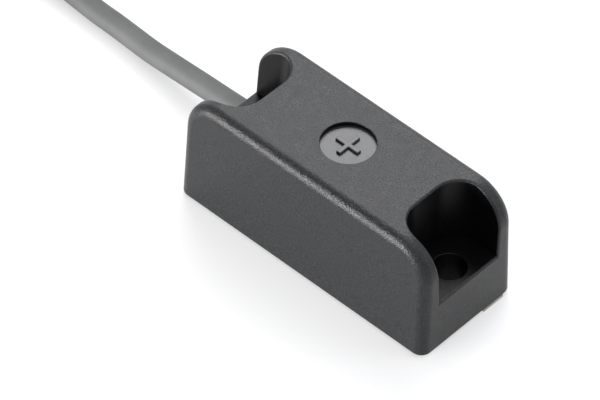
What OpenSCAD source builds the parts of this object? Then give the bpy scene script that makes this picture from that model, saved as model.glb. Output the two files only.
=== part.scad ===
// Door contact sensor: potted reed switch in a screw-on housing, with a fixed cable.
// Millimetres. The origin is the middle of the mounting face, X runs along the housing,
// the cable leaves the -X end, and +Z points away from the door frame.

/* [Housing] */
// Length of the housing at its open rim
body_l = 36; // [35:0.5:40]
// Width of the housing at its open rim
body_w = 14.7; // [14.5:0.1:18]
// Height from the mounting face to the top
body_h = 15.4; // [15:0.1:17]
// Radius of the two shoulders in the side view
shoulder_r = 4.75; // [3:0.25:6]
// Radius of the edge that runs round the long sides
edge_r = 1.3; // [0.8:0.1:1.6]
// Mould draft of the outer walls, in degrees
draft = 1.5; // [0.5:0.1:2]

/* [Screw recesses] */
// Distance between the two screw holes
hole_pitch = 30; // [30:0.5:31]
// Diameter of the screw holes
hole_d = 3.8; // [3.4:0.1:4]
// Height of the recess floor above the mounting face
recess_floor_z = 7.1; // [6.5:0.1:8]
// Half width of a recess at its floor
recess_half_w = 4.65; // [4:0.05:5]
// Distance from the middle of the housing to the inner wall of a recess
recess_wall_x = 11.6; // [11.5:0.1:12]
// Radius of the inner corners of a recess
recess_corner_r = 3.2; // [2:0.1:4]

/* [Centre mark] */
// Diameter of the round mark recess
mark_d = 6.2; // [5:0.1:7]
// Depth of the round mark recess
mark_depth = 0.6; // [0.3:0.1:0.8]
// Length of the arms of the raised cross
cross_l = 3.2; // [2:0.1:4]
// Width of the arms of the raised cross
cross_w = 0.55; // [0.3:0.05:1]
// Height of the raised cross above the recess floor
cross_h = 0.4; // [0.2:0.05:0.6]

/* [Cover] */
// Height that the cover stands proud of the rim
cover_proud = 0.4; // [0.2:0.1:0.6]
// Thickness of the cover
cover_t = 1.2; // [1:0.1:1.3]
// Width of the rim round the cover
rim_w = 1; // [0.8:0.1:1.2]

/* [Cable] */
// Outer diameter of the cable
cable_d = 2.7; // [2.5:0.1:2.8]
// Outer diameter of one insulated core
core_d = 0.8; // [0.6:0.05:0.85]

/* [Reed switch] */
// Diameter of the glass capsule
glass_d = 2.1; // [2:0.1:2.4]
// Length of the glass capsule
glass_l = 12; // [11:0.5:13]
// Width of a contact blade
blade_w = 1; // [0.8:0.05:1]
// Thickness of a contact blade
blade_t = 0.18; // [0.15:0.01:0.2]
// Contact gap with no magnet near
contact_gap = 0.2; // [0.15:0.01:0.22]

/* [Hidden] */

slope = tan(draft);             // the outer walls lean in by this much per millimetre
recess_slope = tan(2.5);        // the walls of a screw recess open out by this much
rim_z = cover_proud;            // lower rim of the housing
shoulder_z = body_h - shoulder_r;
pocket_top_z = cover_t;         // the cover fills the pocket up to here
sheet = 0.01;                   // thickness of the slices that a hull joins

// Inside of the housing
cavity_x = 10.1;                // half length round the board
cavity_y = 5.8;                 // half width round the board
ledge = 0.6;                    // ledge that the board is pushed up against
board_top_z = 8;
board_t = 1;
board_z = board_top_z - board_t;
board_play = 0.2;               // between the board's edge and the cavity
crown_z = 13.4;                 // ceiling of the cavity

// Reed switch, on the middle line just under the mark
reed_z = 10.8;
lead_r = 0.225;
lead_x = 8.4;                   // where the leads turn down into the board
lead_end_z = 6.4;               // lower ends of the soldered leads
glass_bore_r = 0.72;
glass_seal_l = 1.1;             // length of the glass that is fused to a lead
overlap = 0.7;                  // each blade reaches this far past the middle
pivot_x = 4.6;                  // where the moving blade bends
root_gap = 0.05;                // between the moving blade and the lead that carries it

// Series resistor, beside the reed switch
resistor_y = -3.4;
resistor_z = 9;
resistor_r = 0.8;
resistor_l = 3.4;
resistor_lead_x = 3.2;
resistor_lead_r = 0.25;

// Cable entry
exit_y = 4.3;
exit_z = 3.2;
entry_end_x = -9.4;             // end of the jacket inside the cavity
bore_play = 0.05;
seal_d = 3.8;
seal_l = 3;
core_gap = 0.02;
conductor_r = 0.25;
bare_z = 6.6;                   // the insulation of the inner cores ends here
// Each inner core: side of the cable's middle in Y and Z, and where it turns up
core_white_at = [-1, 1, -7.9];
core_brown_at = [1, 1, -6.3];
core_yellow_at = [-1, -1, -4.7];
core_green_at = [1, -1, -3.1];
inner_cores = [core_white_at, core_brown_at, core_yellow_at, core_green_at];

// Soldered places on the board: [x, y] of each
top_joints = [for (c = inner_cores) [c[2], core_y(c)]];
under_joints = [
    [-lead_x, 0], [lead_x, 0],
    [-resistor_lead_x, resistor_y], [resistor_lead_x, resistor_y]
];
board_hole_r = 0.35;
solder_h = 0.5;
solder_r = 0.6;
solder_tip_r = 0.34;
solder_bore_r = 0.27;

// Loose stretch of the cable, from the end wall to where it joins the hank
route = [
    [-18, 4.3, 3.2], [-20, 4.3, 3.2], [-22.5, 4.3, 3.1], [-25, 4.4, 2.9],
    [-28, 4.6, 2.5], [-31, 4.8, 2.1], [-34, 5, 1.75], [-37, 5.3, 1.5],
    [-40, 5.5, 1.4], [-43, 5.6, 1.35], [-46, 5.8, 1.35], [-49, 6, 1.35],
    [-52, 6.1, 1.35], [-55, 6.2, 1.35], [-58, 6.2, 1.35], [-61, 6.2, 1.35],
    [-64, 6.2, 1.35], [-67, 6.2, 1.35], [-69, 6.2, 1.35]
];
tube_sides = 8;
cable_r = cable_d / 2;

// Hank: the cable wound as one long loop, with its last turn lying on top
hank_run = 32.75;               // between the middles of the two round ends
hank_end_r = 12.2;              // outer radius of a round end
hank_middle = [-85.375, -4.65];
hank_h = 10.85;                 // four layers
waist = 3;                      // each side is drawn in this far at the tie
waist_r = 20;
tie_w = 3.6;
tie_t = 0.3;
tie_top_z = 13.85;              // underside of the strap where it lies on the last turn
tail_route = [
    [-101.8, 6.2, 12.2], [-107, 4.9, 12.2], [-110.9, 1.2, 12.2], [-112.6, -4.6, 12.2],
    [-110.9, -10.5, 12.2], [-107, -14.2, 12.2], [-101.8, -15.5, 12.2], [-97.8, -15.1, 12.2],
    [-92.6, -13.7, 12.2], [-87.3, -12.5, 12.5], [-83.4, -12.5, 12.5], [-78.2, -13.7, 12.2],
    [-72.9, -15.1, 12.2], [-69, -15.5, 12.2], [-63.9, -14, 12.2], [-60.4, -10.1, 12.2],
    [-59.5, -4.7, 12.2], [-61.6, 0, 12.2], [-65, 2.6, 12.2], [-69, 3.4, 12.2],
    [-72.9, 3, 12.2], [-78.2, 1.7, 12.2], [-83.4, 0.6, 12.5], [-87.3, 0.6, 12.5],
    [-92.6, 1.7, 12.2], [-97.8, 3, 12.2], [-101.8, 3.4, 12.2]
];

// Each stripped core: radius round the end of the hank, and its sweep in degrees
end_white_at = [6.6, 130];
end_brown_at = [7.42, 118];
end_yellow_at = [8.24, 124];
end_green_at = [9.06, 112];
ends = [end_white_at, end_brown_at, end_yellow_at, end_green_at];
ends_from = 2;                  // clear of the end of the jacket
tip_sweep = 28;
tip_r = 0.25;

$fn = 48;

function half_l(z) = body_l / 2 - (z - rim_z) * slope;
function half_w(z) = body_w / 2 - (z - rim_z) * slope;
function core_y(c) = exit_y + c[0] * (core_d / 2 + core_gap);
function core_z(c) = exit_z + c[1] * (core_d / 2 + core_gap);
function unit(v) = v / norm(v);
function last(list) = len(list) - 1;
// Direction of a route at one of its points
function heading(p, i) = unit(p[min(i + 1, last(p))] - p[max(i - 1, 0)]);
// One ring of a tube, square to the route
function ring(p, i, r, sides) =
    let (
        t = heading(p, i),
        side = unit(cross([0, 0, 1], t)),
        up = cross(t, side)
    )
    [for (k = [0:sides - 1])
        let (a = 360 * (k + 0.5) / sides)
        p[i] + r * (cos(a) * side + sin(a) * up)];

module tube(p, r, sides) {
    n = len(p);
    points = [for (i = [0:n - 1]) each ring(p, i, r, sides)];
    walls = [for (i = [0:n - 2], k = [0:sides - 1])
        let (a = i * sides + k, b = i * sides + (k + 1) % sides)
        [a, a + sides, b + sides, b]];
    caps = [
        [for (k = [0:sides - 1]) k],
        [for (k = [sides - 1:-1:0]) (n - 1) * sides + k]
    ];
    polyhedron(points, concat(walls, caps), convexity = 6);
}

module rounded_plate(half_x, half_y, r, h) {
    linear_extrude(h) {
        square([2 * half_x, 2 * (half_y - r)], center = true);
        square([2 * (half_x - r), 2 * half_y], center = true);
        for (x = [-1, 1], y = [-1, 1])
            translate([x * (half_x - r), y * (half_y - r)]) circle(r);
    }
}

module rod_x(x0, x1, r) {
    translate([x0, 0, 0]) rotate([0, 90, 0]) cylinder(r = r, h = x1 - x0);
}

// A wire that runs level from x0 to x1, then turns to the height z1
module bent_wire(x0, x1, z1, r) {
    rod_x(min(x0, x1), max(x0, x1), r);
    translate([x1, 0, 0]) {
        sphere(r);
        translate([0, 0, min(0, z1)]) cylinder(r = r, h = abs(z1));
    }
}

// Arc of round wire that lies on the far end of the hank
module hank_arc(radius, r, from, sweep) {
    translate([hank_middle[0] - hank_run / 2, hank_middle[1], hank_h + core_d / 2])
        rotate([0, 0, 90 + from])
            rotate_extrude(angle = sweep) translate([radius, 0]) circle(r, $fn = 24);
}

module outer_form() {
    hull() {
        translate([0, 0, rim_z])
            rounded_plate(body_l / 2, body_w / 2, edge_r, sheet, $fn = 32);
        for (x = [-1, 1], y = [-1, 1])
            translate([
                x * (half_l(shoulder_z) - shoulder_r),
                y * (half_w(shoulder_z) - edge_r),
                shoulder_z
            ])
                rotate([90 + y * draft, 0, 0])
                    rotate_extrude($fn = 48)
                        translate([shoulder_r - edge_r, 0]) circle(edge_r, $fn = 24);
    }
}

// Plan of one screw recess at a height, open to the end of the housing
module recess_slice(z, grow) {
    translate([recess_wall_x - grow, 0, z])
        linear_extrude(sheet)
            for (y = [-1, 1]) {
                translate([recess_corner_r, y * (recess_half_w + grow - recess_corner_r)])
                    circle(recess_corner_r, $fn = 48);
                translate([body_l / 2, y * (recess_half_w + grow - 0.5)])
                    square(1, center = true);
            }
}

module screw_recess() {
    top_z = body_h + 1;
    hull() {
        recess_slice(recess_floor_z, 0);
        recess_slice(top_z, (top_z - recess_floor_z) * recess_slope);
    }
}

module screw_holes(z0, z1) {
    for (x = [-1, 1])
        translate([x * hole_pitch / 2, 0, z0]) cylinder(d = hole_d, h = z1 - z0);
}

module cross_mark() {
    for (a = [0, 90])
        rotate([0, 0, a])
            translate([-cross_l / 2, -cross_w / 2, 0]) cube([cross_l, cross_w, cross_h]);
}

module housing() {
    mark_z = body_h - mark_depth;
    color("#3a3b3d") {
        difference() {
            outer_form();
            for (a = [0, 180])
                rotate([0, 0, a]) screw_recess();
            screw_holes(-1, recess_floor_z + 1);
            translate([0, 0, mark_z]) cylinder(d = mark_d, h = mark_depth + 1);
            // pocket for the cover
            translate([0, 0, rim_z - 1])
                rounded_plate(
                    body_l / 2 - rim_w, body_w / 2 - rim_w, 1, pocket_top_z - rim_z + 1
                );
            // cavity round the board, and the narrower crown above the ledge
            translate([-cavity_x, -cavity_y, pocket_top_z - 0.5])
                cube([2 * cavity_x, 2 * cavity_y, board_top_z - pocket_top_z + 0.5]);
            translate([-cavity_x + ledge, -cavity_y + ledge, board_top_z - 0.5])
                cube([
                    2 * (cavity_x - ledge), 2 * (cavity_y - ledge), crown_z - board_top_z + 0.5
                ]);
            // cable bore and the wider seat of the seal
            translate([0, exit_y, exit_z]) {
                rod_x(-body_l / 2 - 1, -cavity_x, cable_r + bore_play);
                rod_x(-cavity_x - seal_l, -cavity_x + 1, seal_d / 2);
            }
        }
        translate([0, 0, mark_z]) cross_mark();
    }
}

module base_cover() {
    play = 0.05;
    tab_x = body_l / 2 - rim_w - 0.5;
    tab_t = rim_z - play;
    color("#4a4744")
        difference() {
            union() {
                rounded_plate(
                    body_l / 2 - rim_w - play, body_w / 2 - rim_w - play, 0.95, cover_t
                );
                // tab under the rim at two opposite corners
                for (a = [0, 180])
                    rotate([0, 0, a])
                        translate([tab_x, 2.7, 0]) cube([body_l / 2 - tab_x, 3.1, tab_t]);
            }
            screw_holes(-1, cover_t + 1);
        }
}

module circuit_board() {
    color("#2f6b45")
        translate([0, 0, board_z])
            difference() {
                translate([-cavity_x + board_play, -cavity_y + board_play, 0])
                    cube([2 * (cavity_x - board_play), 2 * (cavity_y - board_play), board_t]);
                for (p = concat(top_joints, under_joints))
                    translate([p[0], p[1], -1]) cylinder(r = board_hole_r, h = board_t + 2);
            }
}

module reed_glass() {
    half = glass_l / 2;
    end_r = glass_d / 2;
    hollow = half - glass_seal_l;
    color("#bcd6c4", 0.5)
        translate([0, 0, reed_z])
            difference() {
                union() {
                    rod_x(-half + end_r, half - end_r, end_r);
                    for (x = [-1, 1])
                        translate([x * (half - end_r), 0, 0]) sphere(end_r);
                }
                rod_x(-hollow, hollow, glass_bore_r);
                rod_x(-half - 1, half + 1, lead_r);
            }
}

module reed_wire(side, to_x) {
    translate([0, 0, reed_z])
        rotate([0, 0, side < 0 ? 180 : 0])
            bent_wire(to_x, lead_x, lead_end_z - reed_z, lead_r);
}

module blade(x0, x1, z0) {
    translate([x0, -blade_w / 2, z0]) cube([x1 - x0, blade_w, blade_t]);
}

module fixed_reed() {
    color("#b8b4aa") {
        reed_wire(-1, 4.4);
        blade(-glass_l / 2 + glass_seal_l + 0.05, overlap, reed_z + 0.05);
    }
}

module moving_reed() {
    color("#b8b4aa")
        blade(-overlap, pivot_x, reed_z + 0.05 - contact_gap - blade_t);
}

module reed_lead() {
    root_x = pivot_x + root_gap;
    color("#b8b4aa") {
        reed_wire(1, root_x + 0.05);
        blade(
            root_x, glass_l / 2 - glass_seal_l - 0.05, reed_z + 0.05 - contact_gap - blade_t
        );
    }
}

module resistor_body() {
    half = resistor_l / 2;
    color("#c9a878")
        translate([0, resistor_y, resistor_z]) {
            rod_x(-half, half, resistor_r - 0.1);
            for (x = [-half, half - 0.9]) rod_x(x, x + 0.9, resistor_r);
        }
}

module resistor_leads() {
    color("#c4c4c0")
        for (a = [0, 180])
            translate([0, resistor_y, resistor_z])
                rotate([0, 0, a])
                    bent_wire(
                        resistor_l / 2, resistor_lead_x, lead_end_z - resistor_z, resistor_lead_r
                    );
}

module solder_cone(p) {
    translate([p[0], p[1], 0])
        difference() {
            cylinder(r1 = solder_r, r2 = solder_tip_r, h = solder_h);
            translate([0, 0, -1]) cylinder(r = solder_bore_r, h = solder_h + 2);
        }
}

module solder_joints() {
    color("#d2d4d6") {
        translate([0, 0, board_top_z])
            for (p = top_joints) solder_cone(p);
        translate([0, 0, board_z])
            mirror([0, 0, 1])
                for (p = under_joints) solder_cone(p);
    }
}

// Insulated core from the end of the jacket up to the board, and its bare end
module inner_core(c, r, bare_top_z) {
    translate([0, core_y(c), core_z(c)])
        bent_wire(entry_end_x, c[2], bare_z - core_z(c), r);
    translate([c[2], core_y(c), bare_z - 0.1])
        cylinder(r = conductor_r, h = bare_top_z - bare_z + 0.1);
}

module potting_resin() {
    clear_r = 0.02;
    color("#232323")
        difference() {
            translate([-cavity_x, -cavity_y, pocket_top_z])
                cube([2 * cavity_x, 2 * cavity_y, board_z - pocket_top_z]);
            translate([0, exit_y, exit_z])
                rod_x(-cavity_x - 1, entry_end_x, cable_r);
            for (c = inner_cores) inner_core(c, core_d / 2 + clear_r, board_z + 1);
            for (p = under_joints)
                translate([p[0], p[1], lead_end_z - 0.05])
                    cylinder(r = solder_r + 0.05, h = board_z - lead_end_z + 1);
        }
}

module cable_seal() {
    color("#1d1d1d")
        translate([0, exit_y, exit_z])
            difference() {
                rod_x(-cavity_x - seal_l, -cavity_x, seal_d / 2);
                rod_x(-cavity_x - seal_l - 1, -cavity_x + 1, cable_r);
            }
}

module cable_entry() {
    color("#8c8c8a")
        translate([0, exit_y, exit_z]) rod_x(route[0][0], entry_end_x, cable_r);
}

module core_white() { color("white") inner_core(core_white_at, core_d / 2, 8.7); }
module core_brown() { color("saddlebrown") inner_core(core_brown_at, core_d / 2, 8.7); }
module core_yellow() { color("gold") inner_core(core_yellow_at, core_d / 2, 8.7); }
module core_green() { color("green") inner_core(core_green_at, core_d / 2, 8.7); }

module cable() {
    color("#8c8c8a") tube(route, cable_r, tube_sides);
}

// Outline of the hank from above, drawn in at its middle
module hank_plan() {
    difference() {
        hull()
            for (x = [-1, 1])
                translate([x * hank_run / 2, 0]) circle(hank_end_r, $fn = 96);
        for (y = [-1, 1])
            translate([0, y * (hank_end_r - waist + waist_r)]) circle(waist_r, $fn = 96);
    }
}

// Block that fills the waist of the hank from tie_t up, grown outwards by a margin
module waist_block(width, top_z, margin) {
    half = hank_end_r - waist + margin;
    translate([-width / 2, -half, tie_t - margin])
        cube([width, 2 * half, top_z - tie_t + 2 * margin]);
}

module cable_hank() {
    color("#8c8c8a")
        translate([hank_middle[0], hank_middle[1], 0]) {
            difference() {
                linear_extrude(hank_h) hank_plan();
                waist_block(tie_w + 0.1, hank_h + tie_t, 3);
            }
            waist_block(tie_w + 0.2, hank_h + tie_t, 0);
        }
}

module hank_tie() {
    color("#222222")
        translate([hank_middle[0], hank_middle[1], 0])
            difference() {
                waist_block(tie_w, tie_top_z, tie_t);
                waist_block(tie_w + 1, tie_top_z, 0);
            }
}

module cable_tail() {
    color("#8c8c8a") tube(tail_route, cable_r, tube_sides);
}

// Stripped core that runs on from the end of the jacket
module end_core(e) {
    hank_arc(e[0], core_d / 2, ends_from, e[1]);
}

module end_white() { color("white") end_core(end_white_at); }
module end_brown() { color("saddlebrown") end_core(end_brown_at); }
module end_yellow() { color("gold") end_core(end_yellow_at); }
module end_green() { color("green") end_core(end_green_at); }

module core_tips() {
    color("#cfd0d2")
        for (e = ends) hank_arc(e[0], tip_r, ends_from + e[1], tip_sweep);
}

housing();
base_cover();
circuit_board();
reed_glass();
fixed_reed();
moving_reed();
reed_lead();
resistor_body();
resistor_leads();
solder_joints();
potting_resin();
cable_seal();
cable_entry();
core_white();
core_brown();
core_yellow();
core_green();
cable();
cable_hank();
hank_tie();
cable_tail();
end_white();
end_brown();
end_yellow();
end_green();
core_tips();
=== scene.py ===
import math
import bmesh
import bpy
from mathutils import Matrix, Vector, geometry


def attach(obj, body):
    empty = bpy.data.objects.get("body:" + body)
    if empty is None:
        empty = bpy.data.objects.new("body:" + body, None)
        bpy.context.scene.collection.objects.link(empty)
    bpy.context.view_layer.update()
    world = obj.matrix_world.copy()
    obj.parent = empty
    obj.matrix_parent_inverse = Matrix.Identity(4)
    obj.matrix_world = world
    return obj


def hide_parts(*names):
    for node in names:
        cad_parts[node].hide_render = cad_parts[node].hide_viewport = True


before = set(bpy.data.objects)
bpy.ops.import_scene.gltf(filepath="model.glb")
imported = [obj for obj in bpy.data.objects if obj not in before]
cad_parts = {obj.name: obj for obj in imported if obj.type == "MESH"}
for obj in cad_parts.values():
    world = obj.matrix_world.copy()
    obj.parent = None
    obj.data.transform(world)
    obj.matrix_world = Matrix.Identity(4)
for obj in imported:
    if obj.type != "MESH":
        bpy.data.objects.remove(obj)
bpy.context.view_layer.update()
scene = bpy.context.scene
scene.view_settings.view_transform = "Standard"
mm = 0.001


# small tools that everything below shares

def linearColour(code):
    # sRGB hex, as a colour picker shows it, to the linear values that the shaders take
    parts = [int(code[i:i + 2], 16) / 255 for i in (0, 2, 4)]
    return [c / 12.92 if c <= 0.04045 else ((c + 0.055) / 1.055) ** 2.4 for c in parts] + [1.0]


def addNode(tree, kind, settings=None, inputs=None, links=None, stops=None):
    # inputs are fixed values, links are the output sockets that feed this node,
    # stops are a colour ramp's (place, colour)
    node = tree.nodes.new(kind)
    for name, value in (settings or {}).items():
        setattr(node, name, value)
    for name, value in (inputs or {}).items():
        node.inputs[name].default_value = value
    for name, socket in (links or {}).items():
        tree.links.new(socket, node.inputs[name])
    if stops:
        elements = node.color_ramp.elements
        while len(elements) < len(stops):
            elements.new(0.5)
        for element, (place, colour) in zip(elements, stops):
            element.position = place
            element.color = colour
    return node


def newMaterial(name):
    # an empty material, its node tree, and the place on the object that its patterns follow
    material = bpy.data.materials.new(name)
    material.use_nodes = True
    tree = material.node_tree
    tree.nodes.clear()
    return material, tree, addNode(tree, "ShaderNodeTexCoord").outputs["Object"]


def perMetre(sizeMm):
    # texture scale that gives features of this size
    return 1 / (sizeMm * mm)


def linkObject(name, data):
    piece = bpy.data.objects.new(name, data)
    scene.collection.objects.link(piece)
    return piece


def smoothStep(t, start, end):
    s = min(max((t - start) / (end - start), 0), 1)
    return s * s * (3 - 2 * s)


# camera: a long lens, from above and in front of the end that has no cable

cameraView = {
    "aim": (-3.28, -3.80, 6.90),   # millimetres
    "azimuth": 41.403,
    "elevation": 46.871,
    "roll": 1.894,
    "distance": 601.04,
    "lens": 333.05,
    "sensor": 36.0,
}


def makeCamera(view):
    azimuth, elevation = math.radians(view["azimuth"]), math.radians(view["elevation"])
    back = Vector((
        math.sin(azimuth) * math.cos(elevation),
        -math.cos(azimuth) * math.cos(elevation),
        math.sin(elevation),
    ))
    level = Vector((math.cos(azimuth), math.sin(azimuth), 0))
    roll = math.radians(view["roll"])
    right = level * math.cos(roll) + back.cross(level) * math.sin(roll)
    data = bpy.data.cameras.new("camera")
    data.lens = view["lens"]
    data.sensor_width = view["sensor"]
    data.clip_start = 0.01
    data.clip_end = 20
    camera = linkObject("camera", data)
    place = (Vector(view["aim"]) + back * view["distance"]) * mm
    turn = Matrix((right, back.cross(right), back)).transposed().to_4x4()
    camera.matrix_world = Matrix.Translation(place) @ turn
    scene.camera = camera


makeCamera(cameraView)
print("camera placed")


# cable: 2.7 mm round, 1 m long with its stripped cores, wound into a tied hank past the loose stretch

cableShape = {
    "diameter": 2.7,
    "jacketLength": 975.0,
    # loose stretch, the same points as in the CAD
    "route": [
        (-18, 4.3, 3.2), (-20, 4.3, 3.2), (-22.5, 4.3, 3.1), (-25, 4.4, 2.9),
        (-28, 4.6, 2.5), (-31, 4.8, 2.1), (-34, 5, 1.75), (-37, 5.3, 1.5),
        (-40, 5.5, 1.4), (-43, 5.6, 1.35), (-46, 5.8, 1.35), (-49, 6, 1.35),
        (-52, 6.1, 1.35), (-55, 6.2, 1.35), (-58, 6.2, 1.35), (-61, 6.2, 1.35),
        (-64, 6.2, 1.35), (-67, 6.2, 1.35), (-69, 6.2, 1.35),
    ],
    "stepsPerPoint": 6,
    "run": 32.75,                  # between the middles of the hank's two round ends
    "nearEnd": -69.0,              # X of the middle of the end nearer the housing
    "middleY": -4.65,
    "outerRadius": 10.85,          # of the middle of the cable, at a round end
    "pitch": 2.75,                 # between turns side by side
    "layer": 2.72,
    "waist": 3.0,                  # each side is drawn in this far at the tie
    "stepsPerTurn": 80,
    # when a turn changes place, in turns from where the hank starts
    "climbs": [(1.6, 1.75), (3.1, 3.25), (4.6, 4.75), (6.1, 6.25)],
    "inwards": [(0.75, 1), (3.75, 4), (6.75, 7)],
    "outwards": [(2.25, 2.5), (5.25, 5.5)],
}
tieShape = {
    "thickness": 0.3,
    "width": 3.6,
    "top": 14.0,                   # middle of the strap where it crosses the last turn
    "corner": 1.5,
    "headSize": (4.8, 2.2, 3.4),
    "headHeight": 7.4,
    "stub": 1.6,                   # what is left of the strap past the head
}


def throughPoints(points, steps):
    # Catmull-Rom curve through the points
    line = []
    for i in range(len(points) - 1):
        before, a, b, after = (
            Vector(points[min(max(k, 0), len(points) - 1)]) for k in range(i - 1, i + 3))
        for s in range(steps):
            t = s / steps
            line.append(0.5 * (
                2 * a + (b - before) * t + (2 * before - 5 * a + 4 * b - after) * t ** 2
                + (3 * a - before - 3 * b + after) * t ** 3))
    return line + [Vector(points[-1])]


def hankPoint(shape, tie, turn):
    # a quarter of a turn is one straight run or one round end
    radius = shape["outerRadius"]
    radius -= shape["pitch"] * sum(smoothStep(turn, *w) for w in shape["inwards"])
    radius += shape["pitch"] * sum(smoothStep(turn, *w) for w in shape["outwards"])
    height = shape["diameter"] / 2 + shape["layer"] * sum(smoothStep(turn, *w) for w in shape["climbs"])
    quarter, along = divmod(4 * (turn % 1), 1)
    farEnd = shape["nearEnd"] - shape["run"]
    drawnIn = shape["waist"] * math.sin(math.pi * along) ** 2
    if quarter == 0:
        x, y = shape["nearEnd"] - shape["run"] * along, radius - drawnIn
    elif quarter == 2:
        x, y = farEnd + shape["run"] * along, drawnIn - radius
    else:
        angle = math.radians(90 * quarter + 180 * along) if quarter == 1 else math.pi * (along - 0.5)
        x = (farEnd if quarter == 1 else shape["nearEnd"]) + radius * math.cos(angle)
        y = radius * math.sin(angle)
    fromTie = (x - shape["nearEnd"] + shape["run"] / 2) / 4.5
    height += tie["thickness"] * math.exp(-fromTie ** 4)   # the strap passes under the cable
    return Vector((x, shape["middleY"] + y, height))


def cableLine(shape, tie):
    line = throughPoints(shape["route"], shape["stepsPerPoint"])
    length = sum((b - a).length for a, b in zip(line, line[1:]))
    turn = 0
    while length < shape["jacketLength"]:
        turn += 1 / shape["stepsPerTurn"]
        following = hankPoint(shape, tie, turn)
        step = (following - line[-1]).length
        if length + step > shape["jacketLength"]:
            following = line[-1].lerp(following, (shape["jacketLength"] - length) / step)
        line.append(following)
        length += step
    return line


def roundWire(name, lines, radius, sides):
    data = bpy.data.curves.new(name, "CURVE")
    data.dimensions = "3D"
    data.bevel_depth = 1.0             # the radius stands at each point
    data.bevel_resolution = sides // 2 - 2
    data.use_fill_caps = True
    for line in lines:
        spline = data.splines.new("POLY")
        spline.points.add(len(line) - 1)
        spline.use_smooth = True
        for point, place in zip(spline.points, line):
            point.co = (*(place * mm), 1)
            point.radius = radius * mm
    return linkObject(name, data)


jacketLine = cableLine(cableShape, tieShape)
cable = roundWire("cable_jacket", [jacketLine], cableShape["diameter"] / 2, 20)
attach(cable, "sensor")
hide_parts("cable", "cable_hank", "cable_tail")
print("cable laid, its jacket ends at", [round(v, 2) for v in jacketLine[-1]])


# stripped end: four cores that fan out over the hank's far end, with bare twisted tips

coreEnds = {
    "diameter": 0.8,
    "restHeight": 11.25,           # of the middle of a core that lies on the cable
    "fanLength": 9.0,              # over which the cores leave the jacket's bundle
    "turnRadius": 8.1,
    "tipLength": 4.0,
    "strandRadius": 0.085,
    "strandTwist": 6.0,            # length of one twist
    # name: offset in the bundle across and up, radius where it lies, length of insulation
    "cores": {
        "white": (-0.42, 0.42, 6.6, 20.6),
        "brown": (-0.42, -0.42, 7.42, 18.6),
        "yellow": (0.42, 0.42, 8.24, 19.6),
        "green": (0.42, -0.42, 9.06, 17.6),
    },
}


def coreLine(core, shape, ends, start, stop, steps):
    across, up, radius, _ = core
    jacketEnd = jacketLine[-1]
    middle = Vector((shape["nearEnd"] - shape["run"], shape["middleY"], 0))
    line = []
    for i in range(steps + 1):
        along = start + (stop - start) * i / steps
        fan = smoothStep(along, 0, ends["fanLength"])
        angle = math.pi / 2 + max(along, 0) / ends["turnRadius"]
        reach = (ends["turnRadius"] + across) * (1 - fan) + radius * fan
        height = (jacketEnd.z + up) * (1 - fan) + ends["restHeight"] * fan
        line.append(middle + Vector((
            reach * math.cos(angle) - min(along, 0), reach * math.sin(angle), height)))
    return line


def strandLines(core, shape, ends):
    # seven tinned wires: one in the middle, six twisted round it
    start = core[3] - 1
    middle = coreLine(core, shape, ends, start, core[3] + ends["tipLength"], 30)
    lines = [middle]
    for k in range(6):
        line = []
        for i, place in enumerate(middle):
            ahead = (middle[min(i + 1, 30)] - middle[max(i - 1, 0)]).normalized()
            side = ahead.cross(Vector((0, 0, 1))).normalized()
            angle = math.radians(60 * k) + 2 * math.pi * (5 * i / 30) / ends["strandTwist"]
            spread = 2 * ends["strandRadius"]
            line.append(place + spread * (math.cos(angle) * side + math.sin(angle) * side.cross(ahead)))
        lines.append(line)
    return lines


onCable = []
strands = []
for colour, core in coreEnds["cores"].items():
    line = coreLine(core, cableShape, coreEnds, -0.8, core[3], 48)
    piece = roundWire("core_end_" + colour, [line], coreEnds["diameter"] / 2, 12)
    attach(piece, "sensor")
    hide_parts("end_" + colour)
    onCable.append(piece)
    strands += strandLines(core, cableShape, coreEnds)
bareTips = roundWire("bare_strands", strands, coreEnds["strandRadius"], 8)
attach(bareTips, "sensor")
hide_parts("core_tips")
print("stripped cores made")


# tie: a nylon strap pulled round the waist of the hank, with its head on one side

def tieLoop(shape, tie):
    # the strap's middle line, in the plane across the hank
    half = shape["outerRadius"] + shape["diameter"] / 2 - shape["waist"] + tie["thickness"] / 2
    low, high, corner = tie["thickness"] / 2, tie["top"], tie["corner"]
    places = []
    for turn, (y, z) in enumerate(((half, high), (-half, high), (-half, low), (half, low))):
        middle = Vector((y - math.copysign(corner, y), z + (corner if z == low else -corner)))
        for i in range(7):
            angle = math.radians(90 * turn + 15 * i)
            places.append(middle + corner * Vector((math.cos(angle), math.sin(angle))))
    return places


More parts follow.
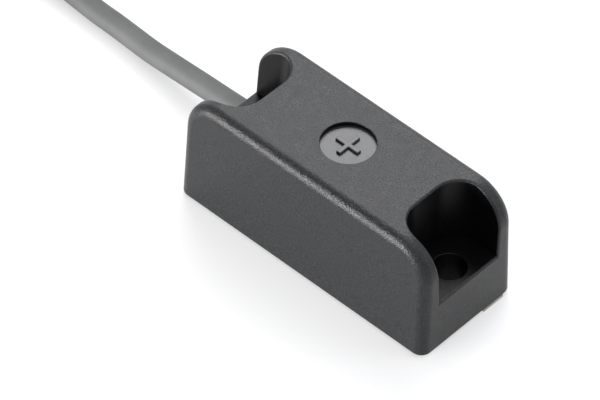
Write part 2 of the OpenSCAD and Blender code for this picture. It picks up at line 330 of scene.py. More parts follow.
def makeTie(shape, tie):
    build = bmesh.new()
    middleX = shape["nearEnd"] - shape["run"] / 2
    places = tieLoop(shape, tie)
    rings = []
    for i, place in enumerate(places):
        ahead = (places[(i + 1) % len(places)] - places[i - 1]).normalized()
        out = Vector((ahead.y, -ahead.x))
        ring = []
        for across, lift in ((-1, 1), (1, 1), (1, -1), (-1, -1)):
            at = place + out * lift * tie["thickness"] / 2
            ring.append(build.verts.new((
                middleX + across * tie["width"] / 2, shape["middleY"] + at.x, at.y)))
        rings.append(ring)
    for i, ring in enumerate(rings):
        following = rings[(i + 1) % len(rings)]
        for k in range(4):
            build.faces.new((ring[k], ring[(k + 1) % 4], following[(k + 1) % 4], following[k]))
    # head: a small block that stands on the strap's side, with the cut end of the strap through it
    wide, deep, tall = tie["headSize"]
    outerY = shape["middleY"] + min(p.x for p in places)
    blocks = [
        ((middleX, outerY - deep / 2, tie["headHeight"]), (wide, deep, tall)),
        ((middleX, outerY - deep / 2, tie["headHeight"] + (tall + tie["stub"]) / 2),
         (tie["width"] - 0.3, 0.9, tie["stub"])),
    ]
    for middle, size in blocks:
        made = bmesh.ops.create_cube(build, size=1)["verts"]
        for vert in made:
            vert.co = Vector(middle) + Vector([c * s for c, s in zip(vert.co, size)])
    for vert in build.verts:
        vert.co *= mm
    bmesh.ops.recalc_face_normals(build, faces=build.faces)
    mesh = bpy.data.meshes.new("hank_strap")
    build.to_mesh(mesh)
    build.free()
    return linkObject("hank_strap", mesh)


strap = makeTie(cableShape, tieShape)
rounding = strap.modifiers.new("edges", "BEVEL")
rounding.width = 0.08 * mm
rounding.segments = 2
rounding.limit_method = "ANGLE"
rounding.angle_limit = math.radians(40)
for face in strap.data.polygons:
    face.use_smooth = True
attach(strap, "sensor")
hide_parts("hank_tie")
print("tie made")


# housing: built from the CAD's sizes, with rounded edges; the mark is a little shallower

housingShape = {
    "length": 36.0,
    "width": 14.7,
    "top": 15.4,
    "rim": 0.4,                    # lower edge, above the mounting face
    "draft": 1.5,                  # lean of the outer walls, degrees
    "shoulderRadius": 4.75,
    "sideRadius": 1.3,
    "recessFloor": 7.1,
    "recessHalfWidth": 4.65,
    "recessWall": 11.6,            # from the middle to the recess's inner wall, at its floor
    "recessCorner": 3.2,
    "recessDraft": 2.5,
    "recessEdge": 0.28,            # radius moulded on the recess's rim
    "lowerEdge": 0.12,
    "holeRadius": 1.9,
    "holeAt": 15.0,
    "holeEdge": 0.12,
    "markRadius": 3.1,
    "markFloor": 14.88,
    "markEdge": 0.09,
    "crossLength": 3.2,
    "crossWidth": 0.55,
    "crossTop": 15.2,
    "crossEdge": 0.07,             # bevel round the cross's top
    "pocket": (17.0, 6.35, 1.0, 1.2),    # half length, half width, corner, height of its ceiling
    "cavity": (10.1, 5.8, 8.0),          # half length, half width, height of the board's ledge
    "crown": (9.5, 5.2, 13.4),
    "bore": (4.3, 3.2, 1.4),             # Y, Z and radius of the cable's hole
    "boreEdge": 0.1,                     # bevel at the mouth of that hole
    "sealSeat": (-13.1, 1.9),            # where it starts, radius
    "seatLimit": 5.75,                   # the seat stops at the side of the cavity
}
finishAndShadeNames = ["skin", "recess", "mark"]   # the recess finish is painted shade, a darker colour that darkens the recesses and the mark's wall; the mould's surface differs on the mark


def newBuild():
    return {"points": [], "found": {}, "faces": [], "normals": [], "finish": 0, "finishes": []}


def useFinishOrShade(build, name):
    build["finish"] = finishAndShadeNames.index(name)


def addFace(build, corners):
    # corners are (place, normal), in either direction round the face
    used = []
    for place, normal in corners:
        key = tuple(round(c, 4) for c in place)
        if key not in build["found"]:
            build["found"][key] = len(build["points"])
            build["points"].append(Vector(key))
        if build["found"][key] not in [u[0] for u in used]:
            used.append((build["found"][key], normal))
    if len(used) < 3:
        return
    facing = geometry.normal([build["points"][u[0]] for u in used])
    if facing.dot(sum((u[1] for u in used), Vector())) < 0:
        used.reverse()
    build["faces"].append([u[0] for u in used])
    build["normals"] += [u[1].normalized() for u in used]
    build["finishes"].append(build["finish"])


def addStrip(build, one, other):
    for i in range(len(one) - 1):
        addFace(build, (one[i], one[i + 1], other[i + 1], other[i]))


def addFlat(build, loops, normal):
    # a flat face of any outline, the loops after the first are its holes
    flat = [place for loop in loops for place in loop]
    for triangle in geometry.tessellate_polygon(loops):
        addFace(build, [(flat[i], normal) for i in triangle])


def roundedEdge(corner, first, second, radius, steps=3, through=None):
    # arc from the face with normal first to the one with normal second
    # through stands for second in the places, where two edges meet in a mitre
    onward = through or second
    middle = corner - (first + onward) * radius / (1 + first.dot(second))
    whole = first.angle(second)
    ring = []
    for i in range(steps + 1):
        a = math.sin(whole * (1 - i / steps)) / math.sin(whole)
        b = math.sin(whole * i / steps) / math.sin(whole)
        ring.append((middle + radius * (a * first + b * onward), a * first + b * second))
    return ring


def flipped(ring, x, y):
    turn = Vector((x, y, 1))
    return [(place * turn, normal * turn) for place, normal in ring]


def places(corners):
    return [corner[0] for corner in corners]


def circlePoints(middle, u, v, radius, count=48):
    steps = [2 * math.pi * i / count for i in range(count)]
    return [(middle + radius * (math.cos(a) * u + math.sin(a) * v), math.cos(a) * u + math.sin(a) * v)
            for a in steps]


def addTube(build, start, end):
    # inside of a round hole: the normals point to its middle
    inner = [[(place, -outward) for place, outward in ring + ring[:1]] for ring in (start, end)]
    addStrip(build, *inner)


def addHoleEdge(build, circle, facing, radius):
    # rounds the edge of a round hole, returns its outer outline and where its wall starts
    rings = [roundedEdge(place, facing, -outward, radius) for place, outward in circle]
    for i in range(len(rings)):
        addStrip(build, rings[i], rings[(i + 1) % len(rings)])
    wall = [(ring[-1][0], outward) for ring, (_, outward) in zip(rings, circle)]
    return [ring[0][0] for ring in rings], wall


def outerSizes(shape):
    draft = math.radians(shape["draft"])
    middleZ = shape["top"] - shape["shoulderRadius"]
    rise = middleZ - shape["rim"]
    middleX = shape["length"] / 2 - (shape["shoulderRadius"] + rise * math.sin(draft)) / math.cos(draft)
    return draft, middleX, middleZ


def shoulderStation(shape, angle):
    # the outer corner of one section of the belt that runs over end, shoulder and top
    draft, middleX, middleZ = outerSizes(shape)
    belt = Vector((math.cos(angle), 0, math.sin(angle)))
    side = Vector((0, math.cos(draft), math.sin(draft)))
    place = Vector((middleX, 0, middleZ)) + shape["shoulderRadius"] * belt
    place.y = shape["width"] / 2 - (place.z - shape["rim"]) * math.tan(draft)
    return roundedEdge(place, belt, side, shape["sideRadius"], 8)


def recessStations(shape):
    # the rim of a recess at +Y: up the end, over the shoulder, round the corner to the inner wall
    draft, middleX, middleZ = outerSizes(shape)
    lean = math.radians(shape["recessDraft"])
    radius = shape["shoulderRadius"]

    def wallNormal(turn):
        return Vector((
            math.sin(turn) * math.cos(lean), -math.cos(turn) * math.cos(lean), math.sin(lean)))

    def opened(z):
        return (z - shape["recessFloor"]) * math.tan(lean)

    def beltAngle(x):
        return math.acos(min(max((x - middleX) / radius, 0), 1))

    def cornerPoint(turn):
        # the rim over one direction of the corner: its height depends on its own place
        z = shape["top"]
        for _ in range(12):
            x = shape["recessWall"] - opened(z) + shape["recessCorner"] * (1 - math.sin(turn))
            angle = beltAngle(x)
            z = middleZ + radius * math.sin(angle)
        y = shape["recessHalfWidth"] + opened(z) - shape["recessCorner"] * (1 - math.cos(turn))
        return Vector((x, y, z)), angle

    stations = []
    startAngle = cornerPoint(0)[1]
    for i in range(13):
        angle = draft + (startAngle - draft) * i / 12
        z = middleZ + radius * math.sin(angle)
        place = Vector((middleX + radius * math.cos(angle), shape["recessHalfWidth"] + opened(z), z))
        stations.append((place, angle, 0.0))
    low, high = 0.0, math.pi / 2
    for _ in range(30):
        half = (low + high) / 2
        low, high = (half, high) if cornerPoint(half)[0].x > middleX else (low, half)
    turns = [low * i / 5 for i in range(1, 6)]
    turns += [low + (math.pi / 2 - low) * i / 11 for i in range(1, 12)]
    for turn in turns:
        place, angle = cornerPoint(turn)
        stations.append((place, angle, turn))
    rims = []
    for place, angle, turn in stations:
        belt = Vector((math.cos(angle), 0, math.sin(angle)))
        edge = roundedEdge(place, belt, wallNormal(turn), shape["recessEdge"])
        rims.append({"edge": edge, "angle": angle, "turn": turn, "wall": wallNormal(turn)})
    return rims


def addEnd(build, shape, x):
    # one end of the housing with its recess, x is 1 or -1
    draft = math.radians(shape["draft"])
    rims = recessStations(shape)
    up, floorZ = Vector((0, 0, 1)), shape["recessFloor"]
    endNormal = Vector((math.cos(draft), 0, math.sin(draft)))
    wall = rims[0]["wall"]
    frontX = shape["length"] / 2 - (floorZ - shape["rim"]) * math.tan(draft)
    foot = Vector((frontX, shape["recessHalfWidth"], floorZ))
    mitre = [roundedEdge(foot, endNormal, n, shape["recessEdge"], 3, wall + up) for n in (wall, up)]
    corner, radius = Vector((shape["length"] / 2, shape["width"] / 2, shape["rim"])), shape["sideRadius"]
    lower = []
    for i in range(9):
        turn = math.pi / 2 * i / 8
        around = Vector((math.cos(turn), math.sin(turn), 0))
        facing = (around * math.cos(draft) + up * math.sin(draft))
        place = corner - Vector((radius, radius, 0)) + around * radius
        lower.append(roundedEdge(place, facing, -up, shape["lowerEdge"]))
    lowerTop = [ring[0] for ring in lower]
    for y in (1, -1):
        # upright corner, then the belt and the edge beside it
        first = shoulderStation(shape, draft)
        addStrip(build, flipped(lowerTop, x, y), flipped(first, x, y))
        for ring, following in zip(lower, lower[1:]):
            addStrip(build, flipped(ring, x, y), flipped(following, x, y))
        before = rims[0]
        for rim in rims[1:]:
            if rim["angle"] > before["angle"]:
                one, other = (shoulderStation(shape, r["angle"]) for r in (before, rim))
                addStrip(build, flipped(one, x, y), flipped(other, x, y))
                belts = [
                    (r["edge"][0], (outer[0][0], r["edge"][0][1]))
                    for r, outer in ((before, one), (rim, other))]
                addStrip(build, flipped(belts[0], x, y), flipped(belts[1], x, y))
            addStrip(build, flipped(before["edge"], x, y), flipped(rim["edge"], x, y))
            if rim["turn"] > 0:
                # rounded inner corner of the recess, down to its floor
                feet = [(recessFoot(shape, r["turn"]), r["wall"]) for r in (before, rim)]
                tops = [(r["edge"][-1][0], r["wall"]) for r in (before, rim)]
                # painted shade: the darker recess finish on the recess's rounded inner corner
                useFinishOrShade(build, "recess")
                addStrip(build, flipped(tops, x, y), flipped(feet, x, y))
                useFinishOrShade(build, "skin")
            before = rim
        addStrip(build, flipped(mitre[0], x, y), flipped(rims[0]["edge"], x, y))
        straight = [r["edge"][-1][0] for r in rims if r["turn"] == 0]
        outline = [mitre[0][-1][0]] + straight + [recessFoot(shape, 0)]
        # painted shade: the darker recess finish on the recess's side wall
        useFinishOrShade(build, "recess")
        addFlat(build, [places(flipped([(p, up) for p in outline], x, y))], wall * Vector((x, y, 1)))
        useFinishOrShade(build, "skin")
    front = [flipped(mitre[1], x, y) for y in (1, -1)]
    addStrip(build, *front)
    inner = [flipped(rims[-1]["edge"], x, y) for y in (1, -1)]
    addStrip(build, *inner)
    innerFoot = [flipped([(recessFoot(shape, math.pi / 2), up)], x, y)[0][0] for y in (1, -1)]
    innerNormal = rims[-1]["wall"] * Vector((x, 1, 1))
    # painted shade: the darker recess finish on the recess's inner wall
    useFinishOrShade(build, "recess")
    addFlat(build, [[inner[0][-1][0], inner[1][-1][0], innerFoot[1], innerFoot[0]]], innerNormal)
    useFinishOrShade(build, "skin")
    # lower edge along the end, then the end face itself
    addStrip(build, flipped(lower[0], x, 1), flipped(lower[0], x, -1))
    half = [lowerTop[0], shoulderStation(shape, draft)[0], rims[0]["edge"][0], mitre[0][0]]
    outline = places(flipped(half, x, 1)) + places(flipped(half, x, -1))[::-1]
    loops = [outline]
    if x < 0:
        loops.append(addBore(build, shape))
    addFlat(build, loops, endNormal * Vector((x, 1, 1)))
    # recess floor with its screw hole
    # painted shade: the darker recess finish on the recess floor and its screw hole
    useFinishOrShade(build, "recess")
    feet = [(mitre[1][-1][0], up)]
    feet += [(recessFoot(shape, r["turn"]), up) for r in rims if r["turn"] > 0 or r is rims[0]]
    outline = places(flipped(feet, x, 1)) + places(flipped(feet, x, -1))[::-1]
    middle = Vector((x * shape["holeAt"], 0, floorZ))
    hole = circlePoints(middle, Vector((1, 0, 0)), Vector((0, 1, 0)), shape["holeRadius"])
    holeOutline, holeWall = addHoleEdge(build, hole, up, shape["holeEdge"])
    addFlat(build, [outline, holeOutline], up)
    ceiling = shape["pocket"][3]
    holeEnd = [(Vector((place.x, place.y, ceiling)), outward) for place, outward in holeWall]
    addTube(build, holeWall, holeEnd)
    useFinishOrShade(build, "skin")
    top = [r["edge"][0][0] for r in rims if r["angle"] > math.pi / 2 - 1e-6]
    top.insert(0, shoulderStation(shape, math.pi / 2)[0][0])
    return {"lower": lower, "holeEnd": places(holeEnd), "top": top}


def recessFoot(shape, turn):
    corner = shape["recessCorner"]
    return Vector((
        shape["recessWall"] + corner * (1 - math.sin(turn)),
        shape["recessHalfWidth"] - corner * (1 - math.cos(turn)), shape["recessFloor"]))


def addBore(build, shape):
    # hole for the cable through the end wall, wider where the seal sits
    y, z, radius = shape["bore"]
    seatX, seatRadius = shape["sealSeat"]
    draft = math.radians(shape["draft"])
    u, v = Vector((0, 1, 0)), Vector((0, 0, 1))

    def ringAt(x, size):
        return circlePoints(Vector((x, y, z)), u, v, size)

    entry = []
    edge = shape["boreEdge"]
    for place, outward in ringAt(0, radius + edge):
        place.x = -(shape["length"] / 2 - (place.z - shape["rim"]) * math.tan(draft))
        entry.append((place, outward))
    throat = [(place - Vector((-edge, 0, 0)) - edge * outward, outward) for place, outward in entry]
    narrow, step = ringAt(seatX, radius), ringAt(seatX, seatRadius)
    for ring, following in ((entry, throat), (throat, narrow)):
        addTube(build, ring, following)
    addFlat(build, [places(step), places(narrow)], Vector((1, 0, 0)))
    seat = ringAt(-shape["cavity"][0], seatRadius)
    for place, _ in seat:
        place.y = min(place.y, shape["seatLimit"])
    addTube(build, step, seat)
    return places(entry)


def addTop(build, shape, ends):
    # flat top between the two recesses, with the round mark and its raised cross
    up = Vector((0, 0, 1))
    outline = []
    for x, y in ((1, 1), (-1, 1), (-1, -1), (1, -1)):
        quarter = [place * Vector((x, y, 1)) for place in ends["top"]]
        outline += quarter[::-1] if x * y > 0 else quarter
    middle = Vector((0, 0, shape["top"]))
    mark = circlePoints(middle, Vector((1, 0, 0)), Vector((0, 1, 0)), shape["markRadius"], 64)
    markOutline, markWall = addHoleEdge(build, mark, up, shape["markEdge"])
    addFlat(build, [outline, markOutline], up)
    floorZ = shape["markFloor"]
    floorRing = [(Vector((place.x, place.y, floorZ)), outward) for place, outward in markWall]
    # painted shade: the darker recess finish on the mark's wall
    useFinishOrShade(build, "recess")
    addTube(build, markWall, floorRing)
    useFinishOrShade(build, "mark")
    a, b = shape["crossWidth"] / 2, shape["crossLength"] / 2
    quarter = [(b, -a), (b, a), (a, a)]
    foot = []
    for _ in range(4):
        foot += [Vector((px, py, floorZ)) for px, py in quarter]
        quarter = [(-py, px) for px, py in quarter]
    addFlat(build, [places(floorRing), foot], up)
    edge, topZ = shape["crossEdge"], shape["crossTop"]
    shrunk = [
        Vector((p.x - math.copysign(edge, p.x), p.y - math.copysign(edge, p.y), topZ)) for p in foot]
    raised = [Vector((p.x, p.y, topZ - edge)) for p in foot]
    for i in range(12):
        k = (i + 1) % 12
        out = (foot[k] - foot[i]).cross(up).normalized()
        slant = (out + up).normalized()
        addFace(build, [(p, out) for p in (foot[i], foot[k], raised[k], raised[i])])
        addFace(build, [(p, slant) for p in (raised[i], raised[k], shrunk[k], shrunk[i])])
    addFlat(build, [shrunk], up)
    useFinishOrShade(build, "skin")


def addSides(build, shape, lower):
    draft = math.radians(shape["draft"])
    rims = recessStations(shape)
    angles = sorted({round(r["angle"], 7) for r in rims})
    stations = [shoulderStation(shape, angle) for angle in angles]
    for y in (1, -1):
        normal = Vector((0, y * math.cos(draft), math.sin(draft)))
        half = [lower[-1][0]] + [s[-1] for s in stations]
        outline = places(flipped(half, 1, y)) + places(flipped(half, -1, y))[::-1]
        addFlat(build, [outline], normal)
        addStrip(build, flipped(stations[-1], 1, y), flipped(stations[-1], -1, y))
        addStrip(build, flipped(lower[-1], 1, y), flipped(lower[-1], -1, y))


def rectangle(halfX, halfY, z):
    return [Vector((x * halfX, y * halfY, z)) for x, y in ((1, 1), (-1, 1), (-1, -1), (1, -1))]


def addWalls(build, low, high):
    # upright walls between two outlines of the same points, facing the middle
    for i in range(len(low)):
        k = (i + 1) % len(low)
        out = (low[k] - low[i]).cross(Vector((0, 0, 1))).normalized()
        inward = out if out.dot(low[i]) < 0 else -out
        addFace(build, [(p, inward) for p in (low[i], low[k], high[k], high[i])])


def addUnderside(build, shape, lower, holeEnds):
    down = Vector((0, 0, -1))
    quarter = [ring[-1] for ring in lower]
    outline = []
    pocketX, pocketY, corner, ceiling = shape["pocket"]
    pocket = []
    for x, y in ((1, 1), (-1, 1), (-1, -1), (1, -1)):
        part = places(flipped(quarter, x, y))
        outline += part if x * y > 0 else part[::-1]
        turns = [math.pi / 2 * i / 8 for i in range(9)]
        part = [
            Vector((
                x * (pocketX - corner + corner * math.cos(t)),
                y * (pocketY - corner + corner * math.sin(t)), shape["rim"]))
            for t in turns]
        pocket += part if x * y > 0 else part[::-1]
    pocketTop = [Vector((p.x, p.y, ceiling)) for p in pocket]
    addFlat(build, [outline, pocket], down)
    addWalls(build, pocket, pocketTop)
    cavityX, cavityY, ledge = shape["cavity"]
    crownX, crownY, crownTop = shape["crown"]
    mouth = rectangle(cavityX, cavityY, ceiling)
    addFlat(build, [pocketTop, mouth] + holeEnds, down)
    upper = rectangle(cavityX, cavityY, ledge)
    y, z, _ = shape["bore"]
    middle = Vector((-cavityX, y, z))
    seat = circlePoints(middle, Vector((0, 1, 0)), Vector((0, 0, 1)), shape["sealSeat"][1])
    for place, _ in seat:
        place.y = min(place.y, shape["seatLimit"])
    for i in range(4):
        k = (i + 1) % 4
        inward = Vector((-(mouth[i].x + mouth[k].x), -(mouth[i].y + mouth[k].y), 0)).normalized()
        loops = [[mouth[i], mouth[k], upper[k], upper[i]]]
        addFlat(build, loops + ([places(seat)] if i == 1 else []), inward)
    crownLow, crownHigh = rectangle(crownX, crownY, ledge), rectangle(crownX, crownY, crownTop)
    addFlat(build, [upper, crownLow], down)
    addWalls(build, crownLow, crownHigh)
    addFlat(build, [crownHigh], down)


def makeHousing(shape):
    build = newBuild()
    ends = [addEnd(build, shape, x) for x in (1, -1)]
    addSides(build, shape, ends[0]["lower"])
    addTop(build, shape, ends[0])
    addUnderside(build, shape, ends[0]["lower"], [end["holeEnd"] for end in ends])
    mesh = bpy.data.meshes.new("housing_shell")
    mesh.from_pydata([place * mm for place in build["points"]], [], build["faces"])
    for face, finish in zip(mesh.polygons, build["finishes"]):
        face.use_smooth = True
        face.material_index = finish
    mesh.normals_split_custom_set(build["normals"])
    return linkObject("housing_shell", mesh)


housing = makeHousing(housingShape)
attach(housing, "sensor")
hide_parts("housing")
print("housing built,", len(housing.data.polygons), "faces")


# materials

def paint(name, material):
    # a CAD piece keeps its shape and takes a finish
    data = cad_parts[name].data
    data.materials.clear()
    data.materials.append(material)


def mouldedBlackPbt(name, finish):
    # glass-filled PBT: near black, its light comes from a dull sheen that spark-eroded grain breaks up,
    # with cloudy patches where the glass fibre lies near the skin; real grain is about 0.05 mm, and
    # it is drawn coarser so that it shows
    material, tree, where = newMaterial(name)
    grain = addNode(tree, "ShaderNodeTexNoise", inputs={
        "Scale": perMetre(finish["grain"]), "Detail": 3.0, "Roughness": 0.65}, links={"Vector": where})
    cloud = addNode(tree, "ShaderNodeTexNoise", inputs={
        "Scale": perMetre(finish["cloud"]), "Detail": 5.0, "Roughness": 0.6}, links={"Vector": where})
    colour = addNode(tree, "ShaderNodeValToRGB", links={"Fac": grain.outputs["Fac"]}, stops=[
        (0.35, linearColour(finish["dark"])), (0.65, linearColour(finish["light"]))])
    gloss = addNode(tree, "ShaderNodeMapRange", inputs={
        "From Min": 0.35, "From Max": 0.65, "To Min": finish["roughness"] - finish["patchy"],
        "To Max": finish["roughness"] + finish["patchy"]}, links={"Value": cloud.outputs["Fac"]})
    relief = addNode(tree, "ShaderNodeBump", inputs={
        "Strength": finish["relief"], "Distance": finish["depth"] * mm}, links={
        "Height": grain.outputs["Fac"]})
    shader = addNode(tree, "ShaderNodeBsdfPrincipled", inputs={"IOR": finish["ior"]}, links={
        "Base Color": colour.outputs["Color"], "Roughness": gloss.outputs["Result"],
        "Normal": relief.outputs["Normal"]})
    addNode(tree, "ShaderNodeOutputMaterial", links={"Surface": shader.outputs[0]})
    return material


# sizes in millimetres; PBT's own IOR is about 1.57, and the grain's dulling is put into a lower one
housingFinishesAndShade = {
    "skin": {"dark": "060708", "light": "1d1e20", "grain": 0.2, "cloud": 1.2, "roughness": 0.31,
             "patchy": 0.04, "relief": 1.0, "depth": 0.07, "ior": 1.36},
    # recess: painted shade, a darker colour and a lower IOR than the skin, so that the recesses read dark
    "recess": {"dark": "040405", "light": "070708", "grain": 0.35, "cloud": 2.0, "roughness": 0.34,
               "patchy": 0.03, "relief": 0.6, "depth": 0.03, "ior": 1.22},
    "mark": {"dark": "1c1c1f", "light": "232427", "grain": 0.25, "cloud": 0.6, "roughness": 0.32,
             "patchy": 0.02, "relief": 0.3, "depth": 0.02, "ior": 1.5},
}
# the recess material carries painted shade
for name in finishAndShadeNames:
    housing.data.materials.append(mouldedBlackPbt("moulded_black_pbt_" + name, housingFinishesAndShade[name]))


def extrudedPvc(name, finish):
    # soft PVC drawn through a die: matte, with a faint fine relief and dust along it
    material, tree, where = newMaterial(name)
    fine = addNode(tree, "ShaderNodeTexNoise", inputs={
        "Scale": perMetre(0.12), "Detail": 2.0}, links={"Vector": where})
    mottle = addNode(tree, "ShaderNodeTexNoise", inputs={
        "Scale": perMetre(3.0), "Detail": 3.0}, links={"Vector": where})
    colour = addNode(tree, "ShaderNodeValToRGB", links={"Fac": mottle.outputs["Fac"]}, stops=[
        (0.35, linearColour(finish["dark"])), (0.65, linearColour(finish["light"]))])
    relief = addNode(tree, "ShaderNodeBump", inputs={
        "Strength": 0.25, "Distance": 0.01 * mm}, links={"Height": fine.outputs["Fac"]})
    shader = addNode(tree, "ShaderNodeBsdfPrincipled", inputs={
        "Roughness": finish["roughness"], "IOR": 1.53}, links={
        "Base Color": colour.outputs["Color"], "Normal": relief.outputs["Normal"]})
    addNode(tree, "ShaderNodeOutputMaterial", links={"Surface": shader.outputs[0]})
    return material


pvcFinishes = {
    "cable": {"dark": "444545", "light": "4a4b4b", "roughness": 0.72},
    "white": {"dark": "dcdcd6", "light": "e6e6e1", "roughness": 0.42},
    "brown": {"dark": "5c3a22", "light": "66432a", "roughness": 0.42},
    "yellow": {"dark": "d6b528", "light": "e0c035", "roughness": 0.42},
    "green": {"dark": "2c7a42", "light": "35874c", "roughness": 0.42},
}
cablePvc = extrudedPvc("extruded_grey_pvc", pvcFinishes["cable"])
cable.data.materials.append(cablePvc)
paint("cable_entry", cablePvc)
for colour, piece in zip(coreEnds["cores"], onCable):
    corePvc = extrudedPvc("extruded_" + colour + "_pvc", pvcFinishes[colour])
    piece.data.materials.append(corePvc)
    paint("core_" + colour, corePvc)


def mouldedSmooth(name, finish):
    # unfilled plastic or rubber from a smooth mould: soft gloss with shallow, cloudy flow marks
    material, tree, where = newMaterial(name)
    flow = addNode(tree, "ShaderNodeTexNoise", inputs={
        "Scale": perMetre(finish["flow"]), "Detail": 3.0, "Distortion": 0.6}, links={"Vector": where})
    colour = addNode(tree, "ShaderNodeValToRGB", links={"Fac": flow.outputs["Fac"]}, stops=[
        (0.3, linearColour(finish["dark"])), (0.7, linearColour(finish["light"]))])
    relief = addNode(tree, "ShaderNodeBump", inputs={
        "Strength": 0.15, "Distance": 0.02 * mm}, links={"Height": flow.outputs["Fac"]})
    shader = addNode(tree, "ShaderNodeBsdfPrincipled", inputs={
        "Roughness": finish["roughness"], "IOR": 1.54}, links={
        "Base Color": colour.outputs["Color"], "Normal": relief.outputs["Normal"]})
    addNode(tree, "ShaderNodeOutputMaterial", links={"Surface": shader.outputs[0]})
    return material


# the cover is a light warm grey ABS
paint("base_cover", mouldedSmooth("moulded_abs", {
    "dark": "87827a", "light": "918c84", "flow": 1.5, "roughness": 0.45}))
strap.data.materials.append(mouldedSmooth("moulded_black_nylon", {
    "dark": "161617", "light": "1e1e20", "flow": 0.8, "roughness": 0.38}))
paint("cable_seal", mouldedSmooth("moulded_black_rubber", {
    "dark": "141414", "light": "1c1c1b", "flow": 0.5, "roughness": 0.7}))
paint("potting_resin", mouldedSmooth("cast_black_polyurethane", {
    "dark": "101011", "light": "17171a", "flow": 4.0, "roughness": 0.12}))


def lacqueredLaminate():
    # green solder lacquer over woven glass fibre: glossy, the weave shows as a faint grid
    material, tree, where = newMaterial("lacquered_glass_laminate")
    threads = [
        addNode(tree, "ShaderNodeTexWave", settings={"bands_direction": direction}, inputs={
            "Scale": perMetre(0.45) / 20, "Distortion": 0.4}, links={"Vector": where})
        for direction in ("X", "Y")]
    weave = addNode(tree, "ShaderNodeMath", settings={"operation": "MAXIMUM"})
    for socket, thread in zip(weave.inputs, threads):
        tree.links.new(thread.outputs["Fac"], socket)
    colour = addNode(tree, "ShaderNodeValToRGB", links={"Fac": weave.outputs[0]}, stops=[
        (0.2, linearColour("1c5a36")), (1.0, linearColour("25683f"))])
    relief = addNode(tree, "ShaderNodeBump", inputs={
        "Strength": 0.2, "Distance": 0.02 * mm}, links={"Height": weave.outputs[0]})
    shader = addNode(tree, "ShaderNodeBsdfPrincipled", inputs={"Roughness": 0.25, "IOR": 1.55}, links={
        "Base Color": colour.outputs["Color"], "Normal": relief.outputs["Normal"]})
    addNode(tree, "ShaderNodeOutputMaterial", links={"Surface": shader.outputs[0]})
    return material


def fusedGlass():
    # pale green lead glass, flame sealed: clear, smooth, a little wavy
    material, tree, where = newMaterial("fused_green_glass")
    wave = addNode(tree, "ShaderNodeTexNoise", inputs={"Scale": perMetre(1.2)}, links={"Vector": where})
    relief = addNode(tree, "ShaderNodeBump", inputs={
        "Strength": 0.08, "Distance": 0.03 * mm}, links={"Height": wave.outputs["Fac"]})
    shader = addNode(tree, "ShaderNodeBsdfPrincipled", inputs={
        "Base Color": linearColour("d8ecdc"), "Roughness": 0.03, "IOR": 1.52,
        "Transmission Weight": 1.0}, links={"Normal": relief.outputs["Normal"]})
    addNode(tree, "ShaderNodeOutputMaterial", links={"Surface": shader.outputs[0]})
    return material


def brightMetal(name, finish):
    # bare metal: rolled, drawn or frozen from the melt, so its brightness wanders over fine lines
    material, tree, where = newMaterial(name)
    stretched = addNode(tree, "ShaderNodeMapping", inputs={
        "Scale": finish["stretch"]}, links={"Vector": where})
    lines = addNode(tree, "ShaderNodeTexNoise", inputs={
        "Scale": perMetre(finish["grain"]), "Detail": 4.0}, links={
        "Vector": stretched.outputs["Vector"]})
    colour = addNode(tree, "ShaderNodeValToRGB", links={"Fac": lines.outputs["Fac"]}, stops=[
        (0.3, linearColour(finish["dark"])), (0.7, linearColour(finish["light"]))])
    gloss = addNode(tree, "ShaderNodeMapRange", inputs={
        "From Min": 0.3, "From Max": 0.7, "To Min": finish["roughness"] - 0.05,
        "To Max": finish["roughness"] + 0.08}, links={"Value": lines.outputs["Fac"]})
    relief = addNode(tree, "ShaderNodeBump", inputs={
        "Strength": 0.2, "Distance": 0.01 * mm}, links={"Height": lines.outputs["Fac"]})
    shader = addNode(tree, "ShaderNodeBsdfPrincipled", inputs={"Metallic": 1.0}, links={
        "Base Color": colour.outputs["Color"], "Roughness": gloss.outputs["Result"],
        "Normal": relief.outputs["Normal"]})
    addNode(tree, "ShaderNodeOutputMaterial", links={"Surface": shader.outputs[0]})
    return material


def lacqueredResistor():
    # beige epoxy lacquer with printed colour rings, which tell its value
    material, tree, where = newMaterial("dipped_beige_lacquer")
    along = addNode(tree, "ShaderNodeSeparateXYZ", links={"Vector": where})
    place = addNode(tree, "ShaderNodeMapRange", inputs={
        "From Min": -1.7 * mm, "From Max": 1.7 * mm}, links={"Value": along.outputs["X"]})
    beige = linearColour("c9a878")
    stops = [(0.0, beige)]
    for start, ring in ((0.18, "6b3a1e"), (0.34, "1a1a1a"), (0.5, "b23324"), (0.76, "b8923a")):
        stops += [(start, linearColour(ring)), (start + 0.08, beige)]
    rings = addNode(tree, "ShaderNodeValToRGB", links={"Fac": place.outputs["Result"]}, stops=stops)
    rings.color_ramp.interpolation = "CONSTANT"
    dimple = addNode(tree, "ShaderNodeTexNoise", inputs={
        "Scale": perMetre(0.4)}, links={"Vector": where})
    relief = addNode(tree, "ShaderNodeBump", inputs={
        "Strength": 0.15, "Distance": 0.03 * mm}, links={"Height": dimple.outputs["Fac"]})
    shader = addNode(tree, "ShaderNodeBsdfPrincipled", inputs={"Roughness": 0.3, "IOR": 1.55}, links={
        "Base Color": rings.outputs["Color"], "Normal": relief.outputs["Normal"]})
    addNode(tree, "ShaderNodeOutputMaterial", links={"Surface": shader.outputs[0]})
    return material


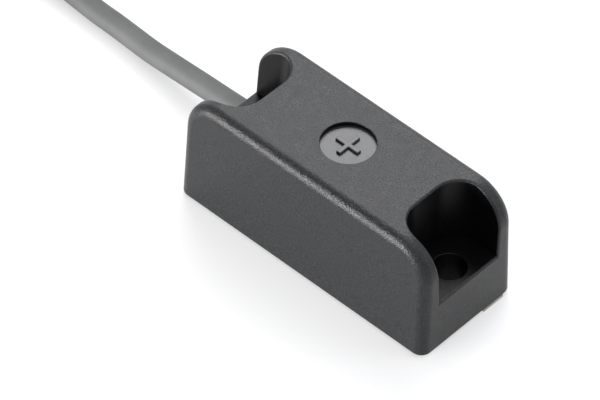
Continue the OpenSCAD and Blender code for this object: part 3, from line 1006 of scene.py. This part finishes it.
paint("circuit_board", lacqueredLaminate())
paint("reed_glass", fusedGlass())
paint("resistor_body", lacqueredResistor())
rolledNickelIron = brightMetal("rolled_nickel_iron", {
    "dark": "a8a59c", "light": "c2bfb6", "grain": 0.3, "stretch": (0.1, 1, 1), "roughness": 0.28})
for name in ("fixed_reed", "moving_reed", "reed_lead"):
    paint(name, rolledNickelIron)
tinnedCopper = brightMetal("drawn_tinned_copper", {
    "dark": "b9b8b4", "light": "d0cfcb", "grain": 0.2, "stretch": (1, 1, 1), "roughness": 0.3})
paint("resistor_leads", tinnedCopper)
bareTips.data.materials.append(tinnedCopper)
paint("solder_joints", brightMetal("frozen_tin_solder", {
    "dark": "9fa1a3", "light": "c4c6c8", "grain": 0.25, "stretch": (1, 1, 1), "roughness": 0.22}))
print("finishes set")


# studio: pale floor, soft lights

studio = {
    "floorSize": 3.0,                  # metres
    "floor": "a8a8a8",
    "floorGlow": 0.45,                 # backlit paper, so the contact shadow stays faint
    # black flag to the left of the camera: it draws the dark line along the near edge
    "flag": (-0.46, -0.56, 0.69),      # direction of its middle
    "flagSize": 34.0,                  # degrees from its middle to where it has faded out
    "flagCore": 14.07,                 # degrees that are fully dark
    "flagDepth": 0.9,
    "sky": "fafbff",
    "skyStrength": 1.0,
    # name: place and target in metres, width and height, power, colour
    "lights": {
        "back_softbox": ((-0.45, 0.60, 0.75), (0, 0, 0.01), (0.7, 0.7), 9.6, "ffffff"),
        "right_softbox": ((0.66, 0.58, 0.62), (0, 0, 0.01), (0.45, 0.45), 1.8, "f6f9ff"),
        "top_softbox": ((0.1, -0.1, 1.1), (0, 0, 0.01), (0.9, 0.9), 3.0, "ffffff"),
        "low_card": ((-0.47, -0.92, 0.13), (0, 0, 0.01), (0.9, 0.24), 27.0, "fffefc"),
    },
}


def makeStudio(look):
    half = look["floorSize"] / 2
    mesh = bpy.data.meshes.new("floor")
    corners = [(-half, -half, 0), (half, -half, 0), (half, half, 0), (-half, half, 0)]
    mesh.from_pydata(corners, [], [(0, 1, 2, 3)])
    floor = linkObject("floor", mesh)
    floor.location.z = -0.02 * mm
    # pale seamless paper: matte, and it glows a little, so that shadows on it stay faint
    material, tree, where = newMaterial("studio_paper")
    fibre = addNode(tree, "ShaderNodeTexNoise", inputs={
        "Scale": perMetre(0.8)}, links={"Vector": where})
    relief = addNode(tree, "ShaderNodeBump", inputs={
        "Strength": 0.05, "Distance": 0.02 * mm}, links={"Height": fibre.outputs["Fac"]})
    shader = addNode(tree, "ShaderNodeBsdfPrincipled", inputs={
        "Base Color": linearColour(look["floor"]), "Roughness": 0.9,
        "Emission Color": linearColour("ffffff"), "Emission Strength": look["floorGlow"]}, links={
        "Normal": relief.outputs["Normal"]})
    addNode(tree, "ShaderNodeOutputMaterial", links={"Surface": shader.outputs[0]})
    mesh.materials.append(material)
    world = bpy.data.worlds.new("studio")
    scene.world = world
    world.use_nodes = True
    sky = world.node_tree.nodes["Background"]
    sky.inputs["Color"].default_value = linearColour(look["sky"])
    # the flag is a soft dark patch of the sky
    tree = world.node_tree
    toward = addNode(tree, "ShaderNodeTexCoord")
    nearFlag = addNode(tree, "ShaderNodeVectorMath", settings={"operation": "DOT_PRODUCT"}, inputs={
        1: Vector(look["flag"]).normalized()}, links={0: toward.outputs["Generated"]})
    strength = addNode(tree, "ShaderNodeMapRange", settings={"interpolation_type": "SMOOTHSTEP"}, inputs={
        "From Min": math.cos(math.radians(look["flagSize"])),
        "From Max": math.cos(math.radians(look["flagCore"])), "To Min": look["skyStrength"],
        "To Max": look["skyStrength"] * (1 - look["flagDepth"])}, links={
        "Value": nearFlag.outputs["Value"]})
    tree.links.new(strength.outputs["Result"], sky.inputs["Strength"])
    for name, (place, target, size, power, colour) in look["lights"].items():
        data = bpy.data.lights.new(name, "AREA")
        data.shape = "RECTANGLE"
        data.size, data.size_y = size
        data.energy = power
        data.color = linearColour(colour)[:3]
        light = linkObject(name, data)
        light.location = place
        light.rotation_euler = (Vector(place) - Vector(target)).to_track_quat("Z", "Y").to_euler()


makeStudio(studio)
print("studio lit")

bpy.context.view_layer.update()
